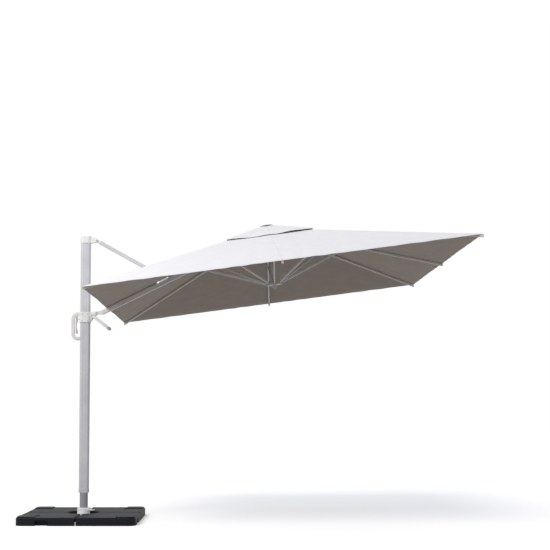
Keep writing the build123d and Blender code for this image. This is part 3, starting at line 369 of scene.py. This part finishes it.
FINISHES = {
    # Extruded aluminium, powder coated light grey: even, with a soft sheen that rounds the corners.
    "mast": GrainedCoat(
        "powder_coated_aluminium", "#cdcdd0", "#c2c2c6", 0.38, grain_mm=2.2, grain_depth_mm=0.04
    ),
    # Moulded ABS cover, nearly white, round a coated steel neck whose darker grey is painted shade: the
    # joint reads as a clean step.
    "foot": FootCoat("foot_cover_and_shaded_neck", "#efefec", "#98989c"),
    # Powder coated steel tube, a warm grey painted paler than the mast's coat as painted light under the
    # canopy: it still looks darker in the canopy's shade.
    "boom": GrainedCoat(
        "boom_tube_coat_with_painted_light", "#e4ddd9", "#d8d1cd", 0.42, grain_mm=2.2, grain_depth_mm=0.04
    ),
    # Painted light: the ribs' coat is paler than the mast's, for the tubes in the canopy's shade.
    "rib": GrainedCoat(
        "rib_tube_coat_with_painted_light", "#e0dad5", "#d4cec9", 0.42, grain_mm=2.2, grain_depth_mm=0.04
    ),
    # Painted light: the stretchers' coat is paler still, as the stretchers hang lower and catch more light.
    "stretcher": GrainedCoat(
        "stretcher_tube_coat_with_painted_light", "#e6e3e0", "#dbd8d5", 0.40, grain_mm=2.2, grain_depth_mm=0.04
    ),
    # Coated mild steel section under the ballast: plain and a little rough.
    "bar": GrainedCoat("coated_steel_bar", "#d0d0d0", "#c0c0c0", 0.45),
    # Injection moulded ABS, nearly white: brighter than the tubes, with a fine matt grain.
    "shell": GrainedCoat(
        "light_moulded_abs", "#eaeae6", "#dedfdb", 0.42, grain_mm=1.2, grain_depth_mm=0.05
    ),
    # The same ABS with a deeper grain for the hand: softer highlights.
    "grip": GrainedCoat("light_grip_abs", "#dededb", "#d2d2cf", 0.48, grain_mm=1.0, grain_depth_mm=0.08),
    # Dark moulded ABS cap: a small dark disc on the pale cloth.
    "disc": GrainedCoat("dark_cap_abs", "#55565a", "#47484c", 0.40, grain_mm=1.2),
    # Glass-filled nylon hubs: mid grey and dull, so the joints read among the tubes.
    "hub": GrainedCoat("grey_hub_nylon", "#b9b5b0", "#aaa6a1", 0.50, grain_mm=1.4),
    # Grained ABS knob: darker than the arm that it turns on.
    "knob": GrainedCoat("grey_knob_abs", "#8d8e92", "#7f8084", 0.45, grain_mm=1.0, grain_depth_mm=0.08),
    # Blow moulded polyethylene: blue-black, with a waxy sheen at a low angle only.
    "ballast": GrainedCoat(
        "black_ballast_polyethylene", "#14171d", "#0d1015", 0.58, grain_mm=1.8, grain_depth_mm=0.14,
        specular=0.16,
    ),
    # Braided polyester cord: matt, off-white, with a ribbed surface.
    "cord": GrainedCoat("braided_cord", "#e8e8e6", "#cfcfcd", 0.75, grain_mm=1.5, grain_depth_mm=0.3),
    # Zinc-plated steel pins and screws: small bright points.
    "zinc": DrawnMetal("zinc_plated_steel", "#b9babd", "#9c9da0"),
    # Woven polyester, white above: bright and matt, with faint slubs and grey stitching.
    "cover_top": Canvas("white_canvas", "#f4f3f4", "#edecee", COVER_HEM_MM),
    # The same cloth's coated inner face, taupe: flat and calm, with stitching close to its colour.
    "cover_under": Canvas(
        "taupe_canvas_lining", "#aa9d90", "#9f9387", COVER_HEM_MM, sheen=0.05, stitch_colour="#9b918a"
    ),
    "vent_top": Canvas("white_vent_canvas", "#f4f3f4", "#edecee", VENT_HEM_MM),
    # The vent's lining, darker than the cover's lining as painted shade: it is seen only as the dark line
    # of the vent's gap.
    "vent_under": Canvas(
        "vent_lining_darkened_as_shade", "#6f6660", "#665e58", VENT_HEM_MM, sheen=0.05, stitch_colour="#857b75"
    ),
}

NODE_FINISHES = {
    "mast": ("mast_tube", "mast_collar", "strut_tube", "boom_bracket", "base_flange"),
    "foot": ("turntable",),
    "boom": ("boom_tube", "boom_end_trim"),
    "bar": ("cross_bar_long", "cross_bar_short", "pivot_tube"),
    "shell": (
        "leg_end_caps", "head_cap", "carriage_body", "strut_eyes", "boom_root_eye", "boom_crown_end",
        "lock_pedal", "crank_arm", "flange_bolts",
    ),
    "grip": ("handle_grip",),
    "disc": ("finial",),
    "hub": ("trigger", "crown", "runner", "bearing_washer", "guide_liner", "pulley"),
    "knob": ("crank_grip",),
    "ballast": ("ballast_back_right", "ballast_back_left", "ballast_front_left", "ballast_front_right"),
    "zinc": (
        "mast_pins", "bracket_pins", "crown_pins", "runner_pins", "carriage_pins", "carriage_screws",
        "crank_spindle", "lock_pin",
    ),
    "cord": ("hoist_cord_boom", "hoist_cord_drop"),
}


@dataclass
class Finisher:
    """Builds each finish once and puts it on pieces."""

    made: dict[str, bpy.types.Material] = field(default_factory=dict)

    def get(self, key: str) -> bpy.types.Material:
        """Give the finish's material, made on first use.

        Args:
            key: The finish's name in FINISHES.

        Returns:
            The material.
        """
        if key not in self.made:
            self.made[key] = FINISHES[key].build()
        return self.made[key]

    def put(self, piece: bpy.types.Object, *keys: str) -> None:
        """Give a piece these finishes, one for each material slot.

        Args:
            piece: The object.
            keys: Names of finishes, in slot order.
        """
        while len(piece.material_slots) < len(keys):
            piece.data.materials.append(None)
        for slot, key in zip(piece.material_slots, keys):
            slot.material = self.get(key)

    def dress_nodes(self) -> None:
        """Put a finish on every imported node; all ribs share one, and all stretchers another."""
        finish_of = {node: key for key, nodes in NODE_FINISHES.items() for node in nodes}
        replaced = {layer.stands_for for layer in Layer}
        for name, piece in frame["nodes"].items():
            if name in replaced:
                continue
            plain = "stretcher" if name.startswith("stretcher") else "rib"
            self.put(piece, finish_of.get(name, plain))
            log.info("%s dressed", name)


# ---- canopy ----------------------------------------------------------------------------------
class Layer(Enum):
    """Which of the two cloths a piece belongs to."""

    COVER = "cover"
    VENT = "vent"

    @property
    def stands_for(self) -> str:
        """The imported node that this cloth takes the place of."""
        return "canopy_cover" if self is Layer.COVER else "vent_cover"


def joint_named(name: str) -> dict:
    """Find a joint of the frame.

    Args:
        name: The joint's name.

    Returns:
        The joint.
    """
    return next(joint for joint in frame["joints"] if joint["name"] == name)


@dataclass
class CanopyAxes:
    """The canopy's own axes: u away from the mast, v across, n up the crown's axis.

    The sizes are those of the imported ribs.
    """

    half: float = 1500 * MM
    pin_circle: float = 60 * MM
    tip_height: float = -14 * MM
    rib_slope_deg: float = 18.93
    apex_rise: float = 35 * MM
    apex: float = field(init=False)
    origin: Vector = field(init=False)
    u: Vector = field(init=False)
    v: Vector = field(init=False)
    n: Vector = field(init=False)

    def __post_init__(self) -> None:
        """Find the axes from the crown's and the runner's pivots, one above the other."""
        top = Vector(joint_named("crown_fold")["pos_m"])
        bottom = Vector(joint_named("runner_level")["pos_m"])
        self.n = (top - bottom).normalized()
        self.v = Vector((0, 1, 0))
        self.u = self.v.cross(self.n)
        rib_rise = (self.half - self.pin_circle) * math.tan(math.radians(self.rib_slope_deg))
        pin_height = self.tip_height + rib_rise
        self.apex = pin_height + self.apex_rise
        self.origin = top + self.pin_circle * self.u - pin_height * self.n

    def side(self, azimuth: float) -> Vector:
        """Give the direction across a rib.

        Args:
            azimuth: The rib's direction in degrees, 0 away from the mast.

        Returns:
            A unit vector.
        """
        angle = math.radians(azimuth)
        return -math.sin(angle) * self.u + math.cos(angle) * self.v

    def point(self, azimuth: float, radial: float, across: float, height: float) -> Vector:
        """Find a point given beside one rib's line.

        Args:
            azimuth: The rib's direction in degrees, 0 away from the mast.
            radial: Distance along the rib's line in the canopy's plane.
            across: Distance sideways from it.
            height: Distance above the plane of the rib tips.

        Returns:
            The point in the scene.
        """
        angle = math.radians(azimuth)
        along = math.cos(angle) * self.u + math.sin(angle) * self.v
        return self.origin + radial * along + across * self.side(azimuth) + height * self.n


@dataclass(frozen=True)
class Panel:
    """One rib's share of the cloth: half-way to the next rib on each side."""

    name: str
    azimuth: float
    body: str
    joint: str

    @property
    def corner(self) -> bool:
        """Whether the rib runs to a corner of the square."""
        return abs(self.azimuth) % 90 == 45

    @property
    def carrier(self) -> str:
        """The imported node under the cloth; the boom stands in for the rib on its own line."""
        return "boom_tube" if self.body == "boom" else self.body


PANELS = (
    Panel("right", 0, "rib_right", "rib_right_fold"),
    Panel("back_right", 45, "rib_back_right", "rib_back_right_fold"),
    Panel("back", 90, "rib_back", "rib_back_fold"),
    Panel("back_left", 135, "rib_back_left", "rib_back_left_fold"),
    Panel("left", 180, "boom", "crown_fold"),
    Panel("front_left", -135, "rib_front_left", "rib_front_left_fold"),
    Panel("front", -90, "rib_front", "rib_front_fold"),
    Panel("front_right", -45, "rib_front_right", "rib_front_right_fold"),
)
HALF_PANEL_TAN = math.tan(math.radians(360 / len(PANELS) / 2))


def link_mesh(name: str, mesh: bmesh.types.BMesh) -> bpy.types.Object:
    """Turn a bmesh to an object in the scene, and free the bmesh.

    Args:
        name: The object's name.
        mesh: The bmesh.

    Returns:
        The object.
    """
    data = bpy.data.meshes.new(name)
    mesh.to_mesh(data)
    mesh.free()
    piece = bpy.data.objects.new(name, data)
    bpy.context.scene.collection.objects.link(piece)
    return piece


def turn_up(mesh: bmesh.types.BMesh, up: Vector) -> None:
    """Make a sheet's faces agree, with their fronts upwards.

    Args:
        mesh: The sheet.
        up: The way up.
    """
    bmesh.ops.recalc_face_normals(mesh, faces=mesh.faces)
    if sum((face.normal for face in mesh.faces), Vector()).dot(up) < 0:
        bmesh.ops.reverse_faces(mesh, faces=mesh.faces)


def lay_flat(mesh: bmesh.types.BMesh, flat: dict[bmesh.types.BMVert, tuple[float, float]]) -> None:
    """Smooth a sheet's faces and keep its flat coordinates in its UV map.

    Args:
        mesh: The sheet.
        flat: Each vertex's place on the flat cloth, in metres.
    """
    cloth_uv = mesh.loops.layers.uv.new("cloth")
    for face in mesh.faces:
        face.smooth = True
        for loop in face.loops:
            loop[cloth_uv].uv = flat[loop.vert]


def thicken(piece: bpy.types.Object, thick: float) -> bpy.types.Modifier:
    """Give cloth its thickness, below the modelled face.

    Args:
        piece: The piece of cloth.
        thick: Its thickness.

    Returns:
        The modifier.
    """
    wall = piece.modifiers.new("cloth_thickness", "SOLIDIFY")
    wall.thickness = thick
    wall.offset = -1
    return wall


@dataclass
class Cloth:
    """A pyramid of cloth in eight panels, each with a strip on its rib and a flank on either side.

    A strip and its two flanks ride on their rib. All lengths are in metres, and a reach is a
    distance from the crown's axis, measured square to a side.
    """

    axes: CanopyAxes
    finisher: Finisher
    layer: Layer
    half: float
    opening: float
    apex: float
    edge: float
    strip: float
    keep: float
    rows: int
    columns: int
    thick: float = 1.2 * MM
    sag: float = 9 * MM
    sag_at_edge: float = 0.08
    bow_power: float = 0.7
    dip: float = 7 * MM
    dip_power: int = 6
    droop: float = 0.0
    droop_power: int = 5
    fold_height: float = 1.2 * MM
    fold_length: float = 170 * MM
    ripple: float = 1.8 * MM
    ripple_length: float = 150 * MM
    ripple_power: int = 14
    seam_half: float = 6 * MM
    seam_rise: float = 0.9 * MM
    hem: float = 26 * MM
    hem_rise: float = 0.7 * MM
    strut_gap: float = 104 * MM
    strip_cut: float = 2.05
    flank_start: float = 1.05

    def height(self, reach: float) -> float:
        """Height of the taut cloth at a reach."""
        return self.apex + (self.edge - self.apex) * reach / self.half

    def edge_of(self, reach: float) -> float:
        """Half the panel's width at a reach."""
        return reach * HALF_PANEL_TAN

    def pulled_in(self, reach: float, share: float) -> float:
        """Find where tension between two ribs draws the cloth to.

        Args:
            reach: The reach before it is drawn in.
            share: Sideways distance as a share of the panel's half width.

        Returns:
            The reach after it.
        """
        return reach - self.dip * share**2 * (reach / self.half) ** self.dip_power

    def loose_edge(self, panel: Panel, radial: float, across: float, out: float) -> float:
        """Find how far a loose edge droops, in waves that run on from panel to panel.

        Args:
            panel: The panel.
            radial: Distance along the rib's line.
            across: Sideways distance from it.
            out: Reach as a share of the edge's.

        Returns:
            The offset along the canopy's axis.
        """
        angle = math.radians(panel.azimuth) + math.atan2(across, radial)
        # Three long waves and eleven short ones round the edge, out of step with the corners.
        held = 0.5 + 0.4 * math.sin(3 * angle + 4.03) + 0.2 * math.sin(11 * angle + 1.1)
        return -self.droop * (1 - min(max(held, 0.0), 1.0)) * out**self.droop_power

    def slack(self, panel: Panel, across: float, reach: float, share: float) -> float:
        """Find how far cloth that is held at its edge lies above or below its taut plane.

        Args:
            panel: The panel.
            across: Sideways distance from the rib's line.
            reach: The reach.
            share: Sideways distance as a share of the panel's half width.

        Returns:
            The offset along the canopy's axis.
        """
        inside = min(max((reach - self.opening) / (self.half - self.opening), 0), 1)
        bow = math.sin(math.pi * inside) ** self.bow_power
        between_ribs = math.sin(share * math.pi / 2) ** 2
        rise = -self.sag * between_ribs * (self.sag_at_edge + (1 - self.sag_at_edge) * bow)
        fold = self.fold_height * math.sin(across * math.tau / self.fold_length + 4 * reach) * bow
        wave = math.sin(across * math.tau / self.ripple_length + panel.azimuth)
        ripple = self.ripple * wave * (reach / self.half) ** self.ripple_power
        return rise + math.sin(share * math.pi) ** 2 * (fold + ripple)

    def place(self, panel: Panel, reach: float, across: float, share: float) -> Vector:
        """Find where a point of the cloth is.

        Args:
            panel: The panel.
            reach: The reach.
            across: Sideways distance from the rib's line, either way.
            share: The same as a share of the panel's half width, 0 on the rib and 1 at its edge.

        Returns:
            The point in the scene.
        """
        pulled = self.pulled_in(reach, share)
        start = pulled * math.sqrt(2) if panel.corner else pulled
        radial = start + (pulled - start) * min(abs(across) / self.edge_of(pulled), 1.0)
        if self.droop:
            rise = self.loose_edge(panel, radial, across, reach / self.half)
        else:
            rise = self.slack(panel, across, reach, share)
        if abs(across) < self.seam_half + 0.1 * MM:
            rise += self.seam_rise
        if reach > self.half - self.hem:
            rise += self.hem_rise
        return self.axes.point(panel.azimuth, radial, across, self.height(reach) + rise)

    def row_reaches(self, first: float, last: float, count: int) -> list[float]:
        """Space the rows of vertices, close together at the hem.

        Args:
            first: The first row's reach.
            last: The last row's reach.
            count: How many plain rows of faces there are.

        Returns:
            The rows' reaches.
        """
        hem_start = self.half - self.hem
        if last < hem_start:
            return [first + (last - first) * step / count for step in range(count + 1)]
        plain = [first + (hem_start - first) * step / count for step in range(count + 1)]
        return plain + [hem_start + 1.2 * MM, self.half - 1.5 * MM, self.half]

    def strip_columns(self, reach: float) -> list[float]:
        """Space the columns across a strip, close together beside the seam.

        Args:
            reach: The row's reach.

        Returns:
            The columns' sideways places.
        """
        limit = min(self.strip, self.edge_of(reach))
        seam = [self.seam_half * share for share in (0.0, 0.7, 1.0, 1.25, 1.6)]
        right = seam + [max(limit * 0.6, seam[-1] + MM), limit]
        return [-place for place in reversed(right[1:])] + right

    def grid(
        self, name: str, panel: Panel, rows: list[float], columns: Callable[[float], list[float]]
    ) -> bpy.types.Object:
        """Make one strip or flank from a grid.

        Args:
            name: The piece's name.
            panel: The panel it belongs to.
            rows: The rows' reaches.
            columns: Gives the sideways places of a row's points.

        Returns:
            The piece.
        """
        wide = len(columns(rows[-1]))
        mesh = bmesh.new()
        bmesh.ops.create_grid(mesh, x_segments=wide - 1, y_segments=len(rows) - 1, size=0.5)
        flat = {}
        for vertex in mesh.verts:
            column = round((vertex.co.x + 0.5) * (wide - 1))
            reach = rows[round((vertex.co.y + 0.5) * (len(rows) - 1))]
            across = columns(reach)[column]
            share = min(abs(across) / self.edge_of(reach), 1.0)
            # The last column follows the pull, so that it still lies on the neighbour's.
            across *= self.pulled_in(reach, share) / reach if share > 0.999 else 1.0
            flat[vertex] = (across, reach)
            vertex.co = self.place(panel, reach, across, share)
        lay_flat(mesh, flat)
        turn_up(mesh, self.axes.n)
        # A sharp border keeps the wall's rim from shading the seam between two pieces as a fold.
        for edge in mesh.edges:
            edge.smooth = not edge.is_boundary
        piece = link_mesh(name, mesh)
        self.finisher.put(piece, self.layer.value + "_top", self.layer.value + "_under")
        wall = thicken(piece, self.thick)
        wall.material_offset = 1
        wall.material_offset_rim = 0
        return piece

    def declare(self) -> None:
        """Hide the imported packed cover that this cloth stands for.
        """
        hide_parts(self.layer.stands_for)

    def build_strips(self, panel: Panel) -> None:
        """Build the strip on a rib, in two lengths where the strut comes through the cover.

        Args:
            panel: The panel.
        """
        spans = [("strip", self.opening, self.half, self.rows)]
        if panel.body == "boom" and self.layer is Layer.COVER:
            strut_end = Vector(joint_named("boom_swing")["pos_m"]) - self.axes.origin
            middle = -strut_end.dot(self.axes.u)
            spans = [
                ("strip_high", self.opening, middle - self.strut_gap / 2, self.rows),
                ("strip_low", middle + self.strut_gap / 2, self.half, self.rows // 2),
            ]
        for part, first, last, count in spans:
            rows = self.row_reaches(first, last, count)
            piece = self.grid(f"{self.layer.value}_{panel.name}_{part}", panel, rows, self.strip_columns)
            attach(piece, panel.body)
            self.declare()

    def build_flank(self, panel: Panel, sign: float, side: str) -> None:
        """Build the cloth between a strip and the next panel.

        Args:
            panel: The panel.
            sign: 1 or -1, the side of the rib.
            side: The side's name.
        """
        first = max(self.opening, self.strip * self.flank_start / HALF_PANEL_TAN)
        rows = self.row_reaches(first, self.half, self.rows)

        def columns(reach: float) -> list[float]:
            """Sideways places from the strip's edge to the panel's edge."""
            room = self.edge_of(reach) - self.strip
            return [sign * (self.strip + room * step / self.columns) for step in range(self.columns + 1)]

        flank = self.grid(f"{self.layer.value}_{panel.name}_flank_{side}", panel, rows, columns)
        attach(flank, panel.body)
        # A point of the strip's edge; nothing uses it.
        anchor = self.axes.point(panel.azimuth, 0.5, sign * self.strip, 0.2)
        tuple(self.axes.side(panel.azimuth))
        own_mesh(flank)
        self.declare()

    def build(self) -> None:
        """Build all eight panels."""
        for panel in PANELS:
            self.build_strips(panel)
            self.build_flank(panel, 1.0, "a")
            self.build_flank(panel, -1.0, "b")


@dataclass
class VentPatch:
    """The round reinforcing patch sewn on top of the vent under the finial."""

    axes: CanopyAxes
    finisher: Finisher
    radius: float = 97 * MM
    hole: float = 14 * MM
    ring_shares: tuple[float, ...] = (0.3, 0.6, 0.92, 1.0)
    segments: int = 64
    rise: float = 32 * MM
    slope: float = 0.378
    level_to: float = 46 * MM
    thick: float = 1.0 * MM

    def build(self) -> None:
        """Build the patch, which rides on the crown."""
        mesh = bmesh.new()
        bmesh.ops.create_circle(mesh, segments=self.segments, radius=self.hole)
        edges = list(mesh.edges)
        for share in self.ring_shares:
            grown = bmesh.ops.extrude_edge_only(mesh, edges=edges)["geom"]
            radius = self.hole + (self.radius - self.hole) * share
            for vert in (item for item in grown if isinstance(item, bmesh.types.BMVert)):
                vert.co = vert.co.normalized() * radius
            edges = [item for item in grown if isinstance(item, bmesh.types.BMEdge)]
        lay_flat(mesh, {vert: vert.co.xy.copy() for vert in mesh.verts})
        for vert in mesh.verts:
            # The vent is a pyramid, so its height falls with the distance square to a side.
            square = max(abs(vert.co.x), abs(vert.co.y))
            height = self.axes.apex + self.rise - self.slope * max(square, self.level_to)
            vert.co = self.axes.point(0, vert.co.x, vert.co.y, height)
        turn_up(mesh, self.axes.n)
        piece = link_mesh("vent_patch", mesh)
        self.finisher.put(piece, "vent_top")
        thicken(piece, self.thick)
        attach(piece, "crown")
        log.info("%s built, held by crown", piece.name)


# ---- stage -----------------------------------------------------------------------------------
def seen_directly(tree: bpy.types.NodeTree) -> bpy.types.NodeSocket:
    """Give 1 where the backdrop is seen, mirrored or looked through, and 0 where it only lights.

    Args:
        tree: The floor's or the world's tree.

    Returns:
        The value socket.
    """
    path = add_node(tree, "LightPath")
    seen = path.outputs["Is Camera Ray"]
    for ray in ("Is Glossy Ray", "Is Transmission Ray"):
        seen = add_node(tree, "Math", {0: seen, 1: path.outputs[ray]}, operation="MAXIMUM").outputs["Value"]
    return seen


@dataclass
class Studio:
    """Pale floor, soft daylight and the camera."""

    floor_size: float = 60.0
    floor_glow: float = 0.34
    ambient: float = 0.60
    key_place: tuple[float, float, float] = (-2.2, -3.0, 3.6)
    key_aim: tuple[float, float, float] = (0.3, 0.0, 2.0)
    key_size: float = 1.6
    key_watts: float = 62.0
    sun_strength: float = 0.95
    sun_spread_deg: float = 25.0
    sun_lean_deg: tuple[float, float] = (38.0, -22.0)
    camera_place: tuple[float, float, float] = (1.318, -9.107, 0.916)
    pitch_deg: float = 3.59
    yaw_deg: float = 0.14
    lens_mm: float = 67.79
    shift_x: float = 0.078
    shift_y: float = 0.136

    def build_camera(self) -> None:
        """The camera, nearly level, a little above hip height."""
        data = bpy.data.cameras.new("camera")
        data.lens = self.lens_mm
        data.shift_x = self.shift_x
        data.shift_y = self.shift_y
        data.clip_end = 100
        camera = bpy.data.objects.new("camera", data)
        camera.location = self.camera_place
        camera.rotation_euler = (math.radians(90 + self.pitch_deg), 0, math.radians(self.yaw_deg))
        bpy.context.scene.collection.objects.link(camera)
        bpy.context.scene.camera = camera

    def build_floor(self) -> None:
        """A large white floor that still shows the soft shadow."""
        mesh = bmesh.new()
        bmesh.ops.create_grid(mesh, x_segments=1, y_segments=1, size=self.floor_size / 2)
        floor = link_mesh("floor", mesh)
        material, tree = new_material("white_floor")
        seen = seen_directly(tree)
        pale = add_node(tree, "BsdfDiffuse", {"Color": linear("#b4b4b4")})
        matt = add_node(tree, "BsdfDiffuse", {"Color": linear("#f6f6f6")})
        glow = add_node(tree, "Emission", {"Color": linear("#ffffff"), "Strength": self.floor_glow})
        both = add_node(tree, "AddShader", {0: matt.outputs["BSDF"], 1: glow.outputs["Emission"]})
        mix = add_node(
            tree, "MixShader", {"Fac": seen, 1: pale.outputs["BSDF"], 2: both.outputs["Shader"]}
        )
        add_node(tree, "OutputMaterial", {"Surface": mix.outputs["Shader"]})
        floor.data.materials.append(material)

    def build_world(self) -> None:
        """Even daylight, white where it is seen."""
        world = bpy.data.worlds.new("daylight")
        bpy.context.scene.world = world
        world.use_nodes = True
        tree = world.node_tree
        tree.nodes.clear()
        seen = seen_directly(tree)
        light = add_node(tree, "Background", {"Color": linear("#f3f6ff"), "Strength": self.ambient})
        white = add_node(tree, "Background", {"Color": linear("#ffffff"), "Strength": 1.0})
        mix = add_node(
            tree, "MixShader",
            {"Fac": seen, 1: light.outputs["Background"], 2: white.outputs["Background"]},
        )
        add_node(tree, "OutputWorld", {"Surface": mix.outputs["Shader"]})

    def build_sun(self) -> None:
        """A soft high sun from the front left."""
        data = bpy.data.lights.new("soft_sun", "SUN")
        data.energy = self.sun_strength
        data.angle = math.radians(self.sun_spread_deg)
        data.color = linear("#fffaf2")[:3]
        sun = bpy.data.objects.new("soft_sun", data)
        sun.rotation_euler = (*(math.radians(lean) for lean in self.sun_lean_deg), 0)
        bpy.context.scene.collection.objects.link(sun)

    def build_key(self) -> None:
        """A large soft lamp high on the left, nearer to the mast's head than to its foot."""
        data = bpy.data.lights.new("soft_key", "AREA")
        data.shape = "DISK"
        data.size = self.key_size
        data.energy = self.key_watts
        key = bpy.data.objects.new("soft_key", data)
        key.location = self.key_place
        towards = Vector(self.key_aim) - Vector(self.key_place)
        key.rotation_euler = towards.to_track_quat("-Z", "Y").to_euler()
        bpy.context.scene.collection.objects.link(key)

    def build(self) -> None:
        """Build the camera, the floor, the world and the lamps."""
        bpy.context.scene.view_settings.view_transform = "Standard"
        self.build_camera()
        self.build_floor()
        self.build_world()
        self.build_sun()
        self.build_key()
        log.info("studio ready")


def main() -> None:
    """Build everything in order."""
    logging.basicConfig(level=logging.INFO)
    Studio().build()
    finisher = Finisher()
    finisher.dress_nodes()
    axes = CanopyAxes()
    Cloth(
        axes, finisher, Layer.COVER, half=axes.half, opening=300 * MM, apex=axes.apex, edge=0.0,
        strip=30.9 * MM, keep=0.093, rows=30, columns=22,
    ).build()
    vent_half = 370 * MM
    Cloth(
        axes, finisher, Layer.VENT, half=vent_half, opening=46 * MM, apex=axes.apex + 31 * MM,
        edge=axes.apex * (1 - vent_half / axes.half) + 17 * MM, strip=41.9 * MM, keep=0.061, rows=12,
        columns=12, dip=2 * MM, droop=14 * MM, hem=14 * MM, seam_half=5 * MM,
    ).build()
    VentPatch(axes, finisher).build()


if __name__ == "__main__":
    main()
